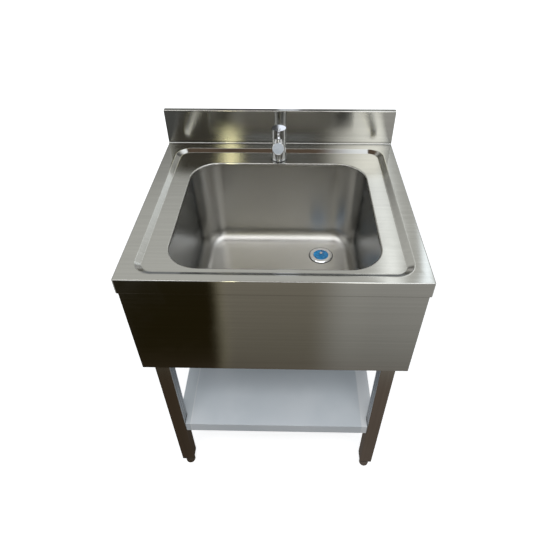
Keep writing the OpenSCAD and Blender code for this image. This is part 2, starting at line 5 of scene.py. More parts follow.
import bmesh
import bpy
from mathutils import Euler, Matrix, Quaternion, Vector
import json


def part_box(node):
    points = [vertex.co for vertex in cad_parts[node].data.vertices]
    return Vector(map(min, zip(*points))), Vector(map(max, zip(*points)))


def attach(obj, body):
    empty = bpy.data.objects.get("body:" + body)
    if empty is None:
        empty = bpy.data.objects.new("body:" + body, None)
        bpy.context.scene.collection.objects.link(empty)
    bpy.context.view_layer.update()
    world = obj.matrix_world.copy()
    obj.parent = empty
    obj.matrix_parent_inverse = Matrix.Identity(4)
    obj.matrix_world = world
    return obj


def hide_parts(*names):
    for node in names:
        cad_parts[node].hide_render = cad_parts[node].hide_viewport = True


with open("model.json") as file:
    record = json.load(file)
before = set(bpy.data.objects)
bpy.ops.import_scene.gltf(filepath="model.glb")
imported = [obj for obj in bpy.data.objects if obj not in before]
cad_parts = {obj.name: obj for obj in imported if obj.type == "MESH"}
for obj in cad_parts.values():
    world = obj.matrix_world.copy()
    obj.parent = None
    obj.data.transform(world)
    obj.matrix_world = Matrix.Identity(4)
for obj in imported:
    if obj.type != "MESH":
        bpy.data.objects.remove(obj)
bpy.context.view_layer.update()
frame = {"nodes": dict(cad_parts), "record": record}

NODES = frame["nodes"]
BODY_OF = {n: b for b, members in frame["record"]["behaviour"]["bodies"].items() for n in members}
MM = 0.001
DEGREES = 180 / math.pi


# ---- Node helpers ----

class Graph:
    """Short calls for building a shader node tree."""

    def __init__(self, tree):
        self.tree = tree

    def add(self, kind, values=None, **props):
        made = self.tree.nodes.new(kind)
        for key, value in props.items():
            setattr(made, key, value)
        for key, value in (values or {}).items():
            self.put(made.inputs[key], value)
        return made

    def put(self, socket, value):
        if isinstance(value, bpy.types.NodeSocket):
            self.tree.links.new(value, socket)
        else:
            socket.default_value = value

    def math(self, op, a, b=0.0, c=0.0):
        return self.add("ShaderNodeMath", {0: a, 1: b, 2: c}, operation=op).outputs[0]

    def ramp(self, value, low, high, to_low=0.0, to_high=1.0):
        """Smooth step of value from low to high."""
        made = self.add(
            "ShaderNodeMapRange",
            {"Value": value, "From Min": low, "From Max": high, "To Min": to_low, "To Max": to_high},
            interpolation_type="SMOOTHSTEP",
        )
        return made.outputs["Result"]

    def band(self, value, a, b, c, d):
        """1 between b and c, falling to 0 at a and d."""
        return self.math("MULTIPLY", self.ramp(value, a, b), self.ramp(value, c, d, 1.0, 0.0))

    def mix(self, share, low, high):
        made = self.add("ShaderNodeMix", data_type="RGBA")
        self.put(made.inputs[0], share)
        for socket, value in ((made.inputs[6], low), (made.inputs[7], high)):
            if isinstance(value, tuple) and len(value) == 3:
                value = (*value, 1.0)
            self.put(socket, value)
        return made.outputs[2]

    def noise(self, vector, scale, detail=3.0, rough=0.5, distortion=0.0):
        values = {"Vector": vector, "Scale": scale, "Detail": detail, "Roughness": rough}
        made = self.add("ShaderNodeTexNoise", values)
        self.put(made.inputs["Distortion"], distortion)
        return made.outputs["Fac"]

    def stretched(self, vector, scale):
        return self.add("ShaderNodeMapping", {"Vector": vector, "Scale": scale}).outputs["Vector"]

    def facing(self):
        """The three parts of the surface's normal."""
        normal = self.add("ShaderNodeNewGeometry").outputs["Normal"]
        return self.add("ShaderNodeSeparateXYZ", {0: normal}).outputs

    def painted_crevice_shade(self, reach, darkest):
        """Painted shade: 1 on open surfaces, falling to darkest where another surface is closer than reach,
        so creases and gaps are darkened in the colour as shade would darken them.
        """
        made = self.add("ShaderNodeAmbientOcclusion", {"Distance": reach}, samples=6)
        return self.ramp(made.outputs["AO"], 0.45, 0.95, darkest, 1.0)

    def bump(self, height, strength, distance, normal=None):
        made = self.add("ShaderNodeBump", {"Height": height, "Strength": strength, "Distance": distance})
        if normal is not None:
            self.put(made.inputs["Normal"], normal)
        return made.outputs["Normal"]


def new_material(name):
    material = bpy.data.materials.new(name)
    material.use_nodes = True
    graph = Graph(material.node_tree)
    shader = material.node_tree.nodes["Principled BSDF"]
    place = graph.add("ShaderNodeTexCoord").outputs["Object"]
    return material, graph, shader, place


def new_metal(name, across):
    """Metal whose highlight keeps to a narrow lobe, spread along across."""
    material, g, shader, place = new_material(name)
    metal = g.add("ShaderNodeBsdfMetallic", distribution="BECKMANN")
    material.node_tree.nodes.remove(shader)
    ending = next(n for n in material.node_tree.nodes if n.type == "OUTPUT_MATERIAL")
    g.put(ending.inputs["Surface"], metal.outputs[0])
    sideways = g.math("GREATER_THAN", g.math("ABSOLUTE", g.facing()[0]), 0.7)
    g.put(metal.inputs["Tangent"], g.mix(sideways, *across))
    return material, g, metal, place


# ---- Materials ----

# The way a highlight spreads on faces that look forward or up, and on faces that look sideways,
# for brushing along X and along Z
ALONG_X = ((0.0, 0.7071, 0.7071), (0.0, 0.0, 1.0))
ALONG_Z = ((1.0, 0.0, 0.0), (0.0, 1.0, 0.0))
# Reach and darkest tone of the painted shade in the brushed steel's creases and gaps
CREVICE_SHADE_REACH, CREVICE_SHADE_TONE = 0.012, 0.25
UPSTAND_DULLER = 0.05
WAVE_DEPTH = 0.0004
FILM_INSET = 0.036


def brushed_steel(name, colour, rough=0.13, aniso=1.0, grain="x", warp=1.0, upright=0.0):
    """Brushed sheet or tube: long fine scratches along the grain, streaks, smudges, painted shade in creases
    and gaps, and a slight waviness.
    Faces that look forward above the height upright are duller. rough and aniso set the highlight's
    size and stretch, warp the strength of the waviness."""
    material, g, shader, place = new_metal(name, ALONG_X if grain == "x" else ALONG_Z)
    fine = {"x": (14, 1500, 1500), "z": (1500, 1500, 14)}[grain]
    coarse = {"x": (1.3, 130, 130), "z": (160, 160, 1.6)}[grain]
    scratches = g.noise(g.stretched(place, fine), 1.0, 4.0, 0.6)
    bands = g.noise(g.stretched(place, coarse), 1.0, 3.0, 0.55, 0.4)
    smudge = g.ramp(g.noise(place, 9.0, 4.0, 0.6, 0.6), 0.48, 0.72)
    wave = g.noise(g.stretched(place, (5.0, 3.0, 3.0)), 1.0, 1.0, 0.4)

    tone = g.math("MULTIPLY_ADD", bands, 0.20, 0.90)
    tone = g.math("MULTIPLY_ADD", scratches, 0.10, g.math("SUBTRACT", tone, 0.05))
    # Painted shade: the colour darkens where another surface is near, in creases, gaps and under the lip
    tone = g.math("MULTIPLY", tone, g.painted_crevice_shade(CREVICE_SHADE_REACH, CREVICE_SHADE_TONE))
    base = g.add("ShaderNodeVectorMath", operation="SCALE")
    base.inputs[0].default_value = colour
    g.put(base.inputs["Scale"], tone)
    g.put(shader.inputs["Base Color"], base.outputs[0])

    roughness = g.math("MULTIPLY_ADD", scratches, 0.03, rough - 0.015)
    roughness = g.math("MULTIPLY_ADD", smudge, 0.02, roughness)
    shader.inputs["Anisotropy"].default_value = aniso
    if upright:
        high, ahead = g.add("ShaderNodeSeparateXYZ", {0: place}).outputs[2], g.facing()[1]
        upstand = g.math("MULTIPLY", g.math("GREATER_THAN", high, upright), g.math("LESS_THAN", ahead, -0.7))
        roughness = g.math("MULTIPLY_ADD", upstand, UPSTAND_DULLER, roughness)
    roughness = g.math("MULTIPLY_ADD", bands, 0.02, g.math("SUBTRACT", roughness, 0.01))
    g.put(shader.inputs["Roughness"], roughness)

    waved = g.bump(wave, 1.0, WAVE_DEPTH * warp)
    g.put(shader.inputs["Normal"], g.bump(scratches, 0.12, 0.00004, waved))
    return material


def satin_steel(name, colour):
    """Pressed bowl: soft satin, faint drawing lines and water marks."""
    material, g, shader, place = new_metal(name, ALONG_X)
    grain = g.noise(g.stretched(place, (40, 700, 700)), 1.0, 3.0, 0.6)
    cloud = g.noise(place, 7.0, 3.0, 0.55, 0.3)
    marks = g.ramp(g.noise(place, 24.0, 5.0, 0.65, 1.2), 0.56, 0.74)
    tone = g.math("MULTIPLY_ADD", cloud, 0.14, 0.93)
    tone = g.math("MULTIPLY_ADD", grain, 0.03, g.math("SUBTRACT", tone, 0.015))
    base = g.add("ShaderNodeVectorMath", operation="SCALE")
    base.inputs[0].default_value = colour
    g.put(base.inputs["Scale"], tone)
    g.put(shader.inputs["Base Color"], base.outputs[0])
    roughness = g.math("MULTIPLY_ADD", grain, 0.02, 0.33)
    roughness = g.math("MULTIPLY_ADD", marks, 0.03, roughness)
    g.put(shader.inputs["Roughness"], roughness)
    shader.inputs["Anisotropy"].default_value = 0.6
    waved = g.bump(g.noise(place, 6.0, 1.0, 0.4), 1.0, 0.0012)
    g.put(shader.inputs["Normal"], g.bump(grain, 0.03, 0.00003, waved))
    return material


def polished(name, colour, rough, spread=0.05, scratch=0.08):
    """Plated or polished metal with hairline marks and dull patches."""
    material, g, shader, place = new_material(name)
    marks = g.noise(g.stretched(place, (900, 900, 120)), 1.0, 3.0, 0.7, 0.5)
    dull = g.ramp(g.noise(place, 60.0, 4.0, 0.6), 0.42, 0.72)
    shade = g.mix(dull, colour, tuple(0.9 * c for c in colour))
    g.put(shader.inputs["Base Color"], shade)
    shader.inputs["Metallic"].default_value = 1.0
    roughness = g.math("MULTIPLY_ADD", dull, spread, rough)
    g.put(shader.inputs["Roughness"], g.math("MULTIPLY_ADD", marks, 0.03, roughness))
    g.put(shader.inputs["Normal"], g.bump(marks, scratch, 0.00003))
    return material


def moulded(name, colour, rough, grain_scale=900.0, depth=0.0001, dust=0.15):
    """Moulded plastic or rubber: fine texture, uneven sheen and a little dust."""
    material, g, shader, place = new_material(name)
    texture = g.noise(place, grain_scale, 3.0, 0.6)
    patch = g.ramp(g.noise(place, 45.0, 4.0, 0.6), 0.4, 0.75)
    pale = tuple(min(1.0, c + 0.10) for c in colour)
    g.put(shader.inputs["Base Color"], g.mix(g.math("MULTIPLY", patch, dust), colour, pale))
    g.put(shader.inputs["Roughness"], g.math("MULTIPLY_ADD", patch, 0.12, rough))
    g.put(shader.inputs["Normal"], g.bump(texture, 0.35, depth))
    return material


def white_film(name, high):
    """Smooth white sheet under a glossy film that stops short of the folds; high is its upper corner. The
    bare strip outside the film carries painted light, paler towards the right.
    """
    material, g, shader, place = new_material(name)
    x, y, z = g.add("ShaderNodeSeparateXYZ", {0: place}).outputs[:]
    wander = g.math("MULTIPLY", g.math("SUBTRACT", g.noise(place, 3.0, 1.0), 0.5), 0.008)
    from_side = g.math("SUBTRACT", g.math("ABSOLUTE", x), high[0] - FILM_INSET)
    from_back = g.math("SUBTRACT", y, high[1] - FILM_INSET * 4)
    outside = g.math("MAXIMUM", from_side, from_back)
    outside = g.math("ADD", outside, wander)
    edge = g.band(outside, -0.003, -0.0012, 0.0, 0.0018)
    bare = g.ramp(outside, -0.001, 0.001)
    cloud = g.noise(place, 5.0, 3.0, 0.5, 0.2)
    base = g.mix(g.ramp(cloud, 0.35, 0.7), (0.72, 0.775, 0.82), (0.80, 0.845, 0.885))
    # Painted light: the bare strip outside the film is painted paler towards the right, where the light falls
    # on the shelf
    strip_painted_light = g.mix(g.ramp(x, -0.15, 0.25), (0.70, 0.755, 0.795), (0.90, 0.93, 0.955))
    base = g.mix(bare, base, strip_painted_light)
    base = g.mix(g.math("MULTIPLY", edge, 0.55), base, (0.93, 0.95, 0.96))
    specks = g.ramp(g.noise(place, 160.0, 2.0, 0.5), 0.765, 0.80)
    base = g.mix(g.math("MULTIPLY", specks, 0.35), base, (0.45, 0.45, 0.47))
    g.put(shader.inputs["Base Color"], base)
    drag = g.noise(g.stretched(place, (3, 90, 90)), 1.0, 3.0, 0.6, 0.3)
    g.put(shader.inputs["Roughness"], g.math("MULTIPLY_ADD", drag, 0.12, 0.16))
    shader.inputs["Specular IOR Level"].default_value = 0.55
    shader.inputs["Coat Weight"].default_value = 0.35
    shader.inputs["Coat Roughness"].default_value = 0.08
    waved = g.bump(cloud, 0.6, 0.0015)
    drawn = g.bump(drag, 0.25, 0.00012, waved)
    g.put(shader.inputs["Normal"], g.bump(edge, 0.5, 0.0004, drawn))
    return material


def blue_film(name):
    """Thin blue protective film, wrinkled over the strainer."""
    material, g, shader, place = new_material(name)
    wrinkle = g.noise(place, 130.0, 4.0, 0.6, 1.5)
    base = g.mix(g.ramp(wrinkle, 0.3, 0.7), (0.0, 0.07, 0.20), (0.0, 0.34, 0.78))
    g.put(shader.inputs["Base Color"], base)
    g.put(shader.inputs["Roughness"], g.math("MULTIPLY_ADD", wrinkle, 0.2, 0.14))
    shader.inputs["Coat Weight"].default_value = 0.3
    shader.inputs["Coat Roughness"].default_value = 0.06
    g.put(shader.inputs["Normal"], g.bump(wrinkle, 1.0, 0.004))
    return material


def braided(name, colour):
    """Woven wire braid: two crossing sets of fine ridges."""
    material, g, shader, place = new_material(name)
    parts = g.add("ShaderNodeSeparateXYZ", {0: place}).outputs
    flat = g.math("ADD", g.math("ABSOLUTE", parts[0]), parts[1])
    along = g.math("MULTIPLY", parts[2], 1900.0)
    across = g.math("MULTIPLY", flat, 2600.0)
    one = g.math("SINE", g.math("ADD", along, across))
    two = g.math("SINE", g.math("SUBTRACT", along, across))
    weave = g.math("MAXIMUM", one, two)
    g.put(shader.inputs["Base Color"], g.mix(g.ramp(weave, -0.2, 0.9), (0.12, 0.12, 0.12), colour))
    shader.inputs["Metallic"].default_value = 1.0
    g.put(shader.inputs["Roughness"], g.math("MULTIPLY_ADD", g.noise(place, 300.0), 0.2, 0.22))
    g.put(shader.inputs["Normal"], g.bump(weave, 0.8, 0.0005))
    return material


UPSTAND_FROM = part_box("upstand_end_left")[0][2] + 0.004

MATERIALS = {
    "steel": brushed_steel("brushed_sheet", (0.63, 0.625, 0.60), upright=UPSTAND_FROM),
    "tube": brushed_steel("brushed_tube", (0.60, 0.575, 0.54), rough=0.25, aniso=0.9, grain="z", warp=0.5),
    "frame_steel": brushed_steel("mill_steel", (0.48, 0.48, 0.47), rough=0.46, aniso=0.4, warp=0.5),
    "bowl_steel": satin_steel("satin_bowl", (0.60, 0.59, 0.565)),
    "shelf_white": white_film("white_sheet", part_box("shelf")[1]),
    "chrome": polished("polished_chrome", (0.80, 0.81, 0.83), 0.02, 0.03, 0.03),
    "zinc": polished("bright_zinc", (0.66, 0.67, 0.68), 0.22, 0.12, 0.2),
    "black_plastic": moulded("black_nylon", (0.022, 0.022, 0.025), 0.42),
    "rubber": moulded("black_rubber", (0.03, 0.03, 0.03), 0.62, 1400.0),
    "pad": moulded("bitumen_pad", (0.05, 0.05, 0.05), 0.75, 260.0, 0.0006, 0.4),
    "blue_film": blue_film("blue_film"),
    "ceramic_housing": moulded("pale_nylon", (0.62, 0.61, 0.57), 0.4),
    "brass": polished("machined_brass", (0.72, 0.50, 0.20), 0.2, 0.1, 0.2),
    "braid": braided("steel_braid", (0.62, 0.62, 0.64)),
}


# ---- Mesh helpers ----

def rounded_loop(box, grow, radii, z, arc=10, side=8):
    """Rounded rectangle grown from box (x0, y0, x1, y1), counter-clockwise from the front right corner.
    Every loop has the same number of points, so any two can be joined."""
    x0, y0, x1, y1 = box[0] - grow, box[1] - grow, box[2] + grow, box[3] + grow
    radii = radii if isinstance(radii, tuple) else (radii,) * 4
    r0, r1, r2, r3 = (max(r, 0.01) for r in radii)
    centres = ((x1 - r0, y0 + r0, r0), (x1 - r1, y1 - r1, r1), (x0 + r2, y1 - r2, r2), (x0 + r3, y0 + r3, r3))
    arcs = []
    for corner, (cx, cy, r) in enumerate(centres):
        turn = [math.radians(90 * (corner - 1 + k / arc)) for k in range(arc + 1)]
        arcs.append([(cx + r * math.cos(a), cy + r * math.sin(a)) for a in turn])
    points = []
    for corner in range(4):
        points += arcs[corner]
        ax, ay = arcs[corner][-1]
        bx, by = arcs[(corner + 1) % 4][0]
        points += [(ax + (bx - ax) * k / side, ay + (by - ay) * k / side) for k in range(1, side)]
    return [(x, y, z) for x, y in points]


def circle_loop(centre, radius, z, like):
    """Circle whose points lie in the same directions from centre as the points of the loop like."""
    turns = [math.atan2(y - centre[1], x - centre[0]) for x, y, _ in like]
    return [(centre[0] + radius * math.cos(a), centre[1] + radius * math.sin(a), z) for a in turns]


class Mesh:
    """Collects vertices (in millimetres) and faces, then makes an object in metres."""

    def __init__(self):
        self.points = []
        self.faces = []

    def loop(self, points):
        start = len(self.points)
        self.points += points
        return list(range(start, start + len(points)))

    def join(self, low, high, closed=True):
        count = len(low)
        for i in range(count if closed else count - 1):
            k = (i + 1) % count
            self.faces.append((low[i], high[i], high[k], low[k]))

    def build(self, name, material, thickness=0.0, merge=0.002):
        data = bpy.data.meshes.new(name)
        edit = bmesh.new()
        made = [edit.verts.new([c * MM for c in p]) for p in self.points]
        for face in self.faces:
            if len(set(face)) > 2:
                edit.faces.new([made[i] for i in face])
        bmesh.ops.remove_doubles(edit, verts=edit.verts, dist=merge * MM)
        bmesh.ops.dissolve_degenerate(edit, edges=edit.edges, dist=merge * MM)
        edit.normal_update()
        for face in edit.faces:
            face.smooth = True
        edit.to_mesh(data)
        edit.free()
        made = bpy.data.objects.new(name, data)
        bpy.context.scene.collection.objects.link(made)
        data.materials.append(MATERIALS[material])
        if thickness:
            solid = made.modifiers.new("thickness", "SOLIDIFY")
            solid.thickness = thickness * MM
            solid.offset = -1.0
        weigh = made.modifiers.new("normals", "WEIGHTED_NORMAL")
        weigh.weight = 100
        weigh.keep_sharp = False
        return made


def stand_in(made, slot, *nodes):
    """made is shown in place of these nodes and moves with their body."""
    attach(made, BODY_OF[nodes[0]])
    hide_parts(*nodes)
    return made


def box_mm(node):
    low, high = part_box(node)
    return [c / MM for c in low], [c / MM for c in high]


def quarter(steps):
    """Sine and versine of evenly spaced angles from 0 to 90 degrees, without the first."""
    turns = [math.pi / 2 * k / steps for k in range(1, steps + 1)]
    return [(math.sin(a), 1 - math.cos(a)) for a in turns]


# ---- Sizes of the sheet pieces, in millimetres ----

SHEET = 1.2
BEND = 2.5             # radius of the worktop's folds
WELD = 3.0             # radius where the rim meets the upstand
HEM = 1.8              # radius of the lip's lower edge
EDGE_ROLL = 4.0        # radius of the edge round the bowl
ROLL_LIP = 0.8         # straight part under that edge
STEP_W = 15.0          # width of the step round the recess
STEP_SOFT = 2.6        # half width of the bends at the step's foot and top
STEP_BOW = 0.5         # share of the bend that lifts its middle
RECESS_R = 45.0
RIM_W = 35.0
FRONT_RIM_W = 21.5
FRONT_CORNER_R = 1.5
REAR_CORNER_R = 0.3
BOWL_R = 80.0
BOWL_FLANGE = 8.0
BOWL_FILLET = 40.0
BOWL_DRAFT = 8.0
WASTE_HOLE_R = 25.0
WALL_DEPTHS = (8, 40, 90, 140, 190)
ARC, SIDE = 10, 16     # points per corner and per side of the worktop's loops
BOWL_ARC = 14
BEND_STEPS = 6

deck_low, deck_high = box_mm("worktop")
bowl_low, bowl_high = box_mm("bowl")
FRONT, BACK = deck_low[1], deck_high[1]
HALF_W = deck_high[0]
LIP_Z, TOP_Z = deck_low[2], deck_high[2]
DECK_Z = box_mm("upstand_end_left")[0][2]
UPSTAND_Y = box_mm("upstand_end_left")[0][1] - SHEET
RECESS_Z = bowl_high[2] + SHEET
OPENING = (
    bowl_low[0] + BOWL_FLANGE,
    bowl_low[1] + BOWL_FLANGE,
    bowl_high[0] - BOWL_FLANGE,
    bowl_high[1] - BOWL_FLANGE,
)
RECESS = (-HALF_W + RIM_W, FRONT + FRONT_RIM_W, HALF_W - RIM_W, UPSTAND_Y - RIM_W)


def worktop():
    mesh = Mesh()

    def ring(box, grow, radii, z):
        return mesh.loop(rounded_loop(box, grow, radii, z, ARC, SIDE))

    # Lip down into the bowl, rolled edge, recess floor
    loops = [ring(OPENING, 0, BOWL_R, RECESS_Z - EDGE_ROLL - ROLL_LIP)]
    for sine, drop in reversed([(0.0, 0.0)] + quarter(7)):
        grow = EDGE_ROLL * (1 - sine)
        loops.append(ring(OPENING, grow, BOWL_R + grow, RECESS_Z - EDGE_ROLL * drop))
    # Step from the recess floor up to the rim, with a soft bend at its foot and its top
    slope = (DECK_Z - RECESS_Z) / STEP_W
    bends = []
    for k in range(BEND_STEPS + 1):
        t = k / BEND_STEPS
        bends.append((t, STEP_SOFT * (2 * t - 1), (1 - t) * t * STEP_SOFT * slope * STEP_BOW))
    for t, along, bow in bends:
        up = max(along, 0) * slope * t + bow
        loops.append(ring(RECESS, -STEP_W + along, RECESS_R - STEP_W + along, RECESS_Z + up))
    for t, along, bow in bends:
        down = max(-along, 0) * slope * (1 - t) + bow
        loops.append(ring(RECESS, along, RECESS_R + along, DECK_Z - down))
    # Flat rim out to where the edges bend
    rim_box = (-HALF_W + BEND, FRONT + BEND, HALF_W - BEND, UPSTAND_Y - WELD)
    radii = (FRONT_CORNER_R, REAR_CORNER_R, REAR_CORNER_R, FRONT_CORNER_R)
    rim = ring(rim_box, 0, radii, DECK_Z)
    loops.append(rim)
    for low, high in zip(loops, loops[1:]):
        mesh.join(low, high)

    # Folded lip round the front and sides
    span = ARC + SIDE
    count = 4 * span
    path = [(2 * span + ARC + k) % count for k in range(2 * span + SIDE + SIDE + ARC + 1)]
    path = path[: path.index(span) + 1]
    row = [rim[i] for i in path]
    lip = [(BEND * s, DECK_Z - BEND * v) for s, v in quarter(BEND_STEPS)] + [(BEND, LIP_Z + HEM)]
    lip += [(BEND - HEM * v, LIP_Z + HEM - HEM * s) for s, v in quarter(5)]
    for out, height in lip:
        grown = rounded_loop(rim_box, out, tuple(r + out for r in radii), 0, ARC, SIDE)
        points = [(grown[i][0], grown[i][1], height) for i in path]
        for end in (0, -1):
            points[end] = (points[end][0], mesh.points[rim[path[end]]][1], height)
        below = mesh.loop(points)
        mesh.join(row, below, closed=False)
        row = below
    # Upstand: weld bend, front, top, back
    path = [span + ARC + k for k in range(SIDE + 1)]
    row = [rim[i] for i in path]
    wide = HALF_W / (HALF_W - BEND - REAR_CORNER_R)
    bend = quarter(BEND_STEPS)
    profile = [(UPSTAND_Y - WELD + WELD * s, DECK_Z + WELD * v) for s, v in bend]
    profile += [(UPSTAND_Y, TOP_Z - BEND)]
    profile += [(UPSTAND_Y + BEND * v, TOP_Z - BEND + BEND * s) for s, v in bend]
    profile += [(BACK - BEND, TOP_Z)]
    profile += [(BACK - BEND + BEND * s, TOP_Z - BEND * v) for s, v in bend]
    profile += [(BACK, LIP_Z)]
    for y, z in profile:
        above = mesh.loop([(mesh.points[rim[i]][0] * wide, y, z) for i in path])
        mesh.join(row, above, closed=False)
        row = above
    # Sides of the worktop under the upstand
    for x in (-HALF_W, HALF_W):
        y0, y1 = UPSTAND_Y - WELD - REAR_CORNER_R, BACK - 0.2
        corner = [(x, y0, LIP_Z), (x, y1, LIP_Z), (x, y1, DECK_Z), (x, y0, DECK_Z)]
        ids = mesh.loop(corner)
        mesh.faces.append(tuple(ids) if x > 0 else tuple(reversed(ids)))
    stand_in(mesh.build("worktop_sheet", "steel", SHEET), "steel", "worktop")


def bowl():
    mesh = Mesh()
    floor_z = bowl_low[2] + SHEET
    bend_z = floor_z + BOWL_FILLET
    waste_low, waste_high = box_mm("waste_flange")
    waste = ((waste_low[0] + waste_high[0]) / 2, (waste_low[1] + waste_high[1]) / 2)

    def ring(grow, z):
        return mesh.loop(rounded_loop(OPENING, grow, BOWL_R + grow, z, BOWL_ARC, SIDE))

    # Flange under the worktop, bent down to the seam just below the worktop's rolled edge
    seam = RECESS_Z - EDGE_ROLL - ROLL_LIP - 0.1
    loops = [ring(BOWL_FLANGE, bowl_high[2]), ring(3.0, bowl_high[2]), ring(1.7, bowl_high[2] - 0.6)]
    loops += [ring(1.4, seam + 1.0), ring(0.0, seam)]
    # Walls that draw in a little, the fillet at their foot, and the floor round the waste
    for z in [seam - depth for depth in WALL_DEPTHS] + [bend_z]:
        loops.append(ring(-BOWL_DRAFT * (seam - z) / (seam - bend_z), z))
    for sine, drop in quarter(BOWL_ARC):
        loops.append(ring(-BOWL_DRAFT - BOWL_FILLET * drop, bend_z - BOWL_FILLET * sine))
    inward = BOWL_DRAFT + BOWL_FILLET + 12
    outer = rounded_loop(OPENING, -inward, BOWL_R - inward, floor_z, BOWL_ARC, SIDE)
    loops.append(mesh.loop(outer))
    for radius in (waste_high[0] - waste[0] + 2, WASTE_HOLE_R):
        loops.append(mesh.loop(circle_loop(waste, radius, floor_z, outer)))
    for low, high in zip(loops, loops[1:]):
        mesh.join(high, low)
    stand_in(mesh.build("bowl_shell", "bowl_steel", SHEET), "bowl_steel", "bowl")


worktop()
bowl()


# ---- CAD pieces that stay: soft edges and materials ----

SLOT_OF = {part["node"]: part["material_slot"] for part in frame["record"]["subparts"]}
EDGE_MM = {
    "rail": 0.3, "apron": 0.3, "upstand": 0.3, "shelf": 0.35,
    "leg_front": 1.0, "leg_rear": 1.0, "leg_plug": 0.6, "foot_pad": 0.8,
    "waste_flange": 0.4, "strainer_basket": 0.3, "bowl_damping_pad": 1.0, "supply_hose": 0.0,
    "tap_body": 0.5, "tap_spout": 0.6, "tap_handle": 1.2,
}
OTHER_EDGE_MM = 0.25
SHARP_DEGREES = 32


def soften(node, made):
    """Rounds a CAD piece's edges a little and gives it its procedural material."""
    made.data.materials.clear()
    made.data.materials.append(MATERIALS[SLOT_OF[node]])
    for face in made.data.polygons:
        face.use_smooth = True
    with bpy.context.temp_override(object=made, active_object=made, selected_objects=[made]):
        bpy.ops.mesh.customdata_custom_splitnormals_clear()
    weld = made.modifiers.new("weld", "WELD")
    weld.merge_threshold = 0.005 * MM
    width = next((w for start, w in EDGE_MM.items() if node.startswith(start)), OTHER_EDGE_MM)
    if width:
        bevel = made.modifiers.new("bevel", "BEVEL")
        bevel.width = width * MM
        bevel.segments = 2
        bevel.limit_method = "ANGLE"
        bevel.angle_limit = math.radians(SHARP_DEGREES)
        bevel.harden_normals = True
    weigh = made.modifiers.new("normals", "WEIGHTED_NORMAL")
    weigh.weight = 100
    weigh.keep_sharp = True


for node, made in NODES.items():
    if not made.hide_render:
        soften(node, made)


# ---- Room, floor, light and camera ----

# What polished steel mirrors. Colours are linear; every angle is in degrees.
CEILING_DIM, CEILING_LIT = (0.12, 0.088, 0.065), (1.2, 1.25, 1.3)
CEILING_LAMPS = (2.9, 2.93, 2.97)
CEILING_EDGE = (0.95, 0.95, 0.93)
FRONT_LOW, FRONT_SHADE, FRONT_WALL = (0.52, 0.515, 0.495), (0.15, 0.146, 0.137), (0.57, 0.575, 0.545)
WINDOW, FAR_WINDOW = (1.38, 1.42, 1.40), (1.42, 1.52, 1.58)
DARK_FLOOR, NEAR_FLOOR, FAR_LEFT_FLOOR = (0.016, 0.012, 0.004), (0.09, 0.093, 0.09), (0.24, 0.235, 0.21)
LEFT_WALL, LEFT_PANEL = (0.09, 0.083, 0.066), (0.90, 0.91, 0.86)
MIDDLE_DEEP, MIDDLE_FLOOR, MIDDLE_WALL = (0.115, 0.105, 0.080), (0.24, 0.22, 0.18), (0.11, 0.10, 0.08)
RIGHT_DEEP, RIGHT_FLOOR, RIGHT_WALL = (0.19, 0.185, 0.165), (0.42, 0.415, 0.39), (1.9, 1.9, 1.8)
BEYOND_DEEP, BEYOND_FLOOR = (0.18, 0.175, 0.155), (0.40, 0.395, 0.375)
BEYOND_WALL, BEYOND_DARK = (0.95, 0.97, 0.95), (0.10, 0.105, 0.11)
GAP_LOW, GAP_HIGH = (0.22, 0.20, 0.135), (4.0, 3.8, 2.3)
BLUE_PANEL = (0.52, 0.56, 0.59)
SIDE_FLOOR, SIDE_WALL, SIDE_STRIP = (0.40, 0.395, 0.375), (0.52, 0.525, 0.51), (1.05, 1.05, 1.0)
GAP_X = 0.1263         # how far to the left the bright gap lies, as a part of a unit direction
GAP_AZIMUTH, GAP_LEAN = -9.3, 0.062


def room_ahead(g, rise, ahead, overhead):
    """The half of the room behind the sink: a pale wall, shaded low down, with two leaning windows."""
    seen = g.mix(g.ramp(rise, 17, 21), FRONT_LOW, FRONT_SHADE)
    wall_from = g.math("MULTIPLY_ADD", g.ramp(ahead, -14, -4), 4.0, rise)
    seen = g.mix(g.ramp(wall_from, 27.1, 28.8), seen, FRONT_WALL)
    seen = g.mix(g.ramp(rise, 52, 66), seen, overhead)
    # A dark patch behind the tap, with a bright strip in it
    low_wall = g.band(rise, 20, 22, 30.5, 33)
    seen = g.mix(g.math("MULTIPLY", g.band(ahead, -12, -9, 7, 9), low_wall), seen, (0.06, 0.06, 0.06))
    seen = g.mix(g.math("MULTIPLY", g.band(ahead, -1.9, -1.5, 0.5, 1.5), low_wall), seen, (1.0, 1.06, 1.15))
    slant = g.math("MULTIPLY_ADD", rise, -0.5, ahead)
    window = g.math("MULTIPLY", g.band(slant, -6.2, -5.2, -3.0, -2.0), g.band(rise, 27, 29, 46, 51))
    seen = g.mix(window, seen, WINDOW)
    lean = g.math("MULTIPLY_ADD", rise, -0.3, g.math("ADD", ahead, 11.1))
    far_window = g.math("MULTIPLY", g.band(lean, 19.4, 20.6, 21.2, 23), g.band(rise, 22, 25, 50, 58))
    return g.mix(far_window, seen, FAR_WINDOW)


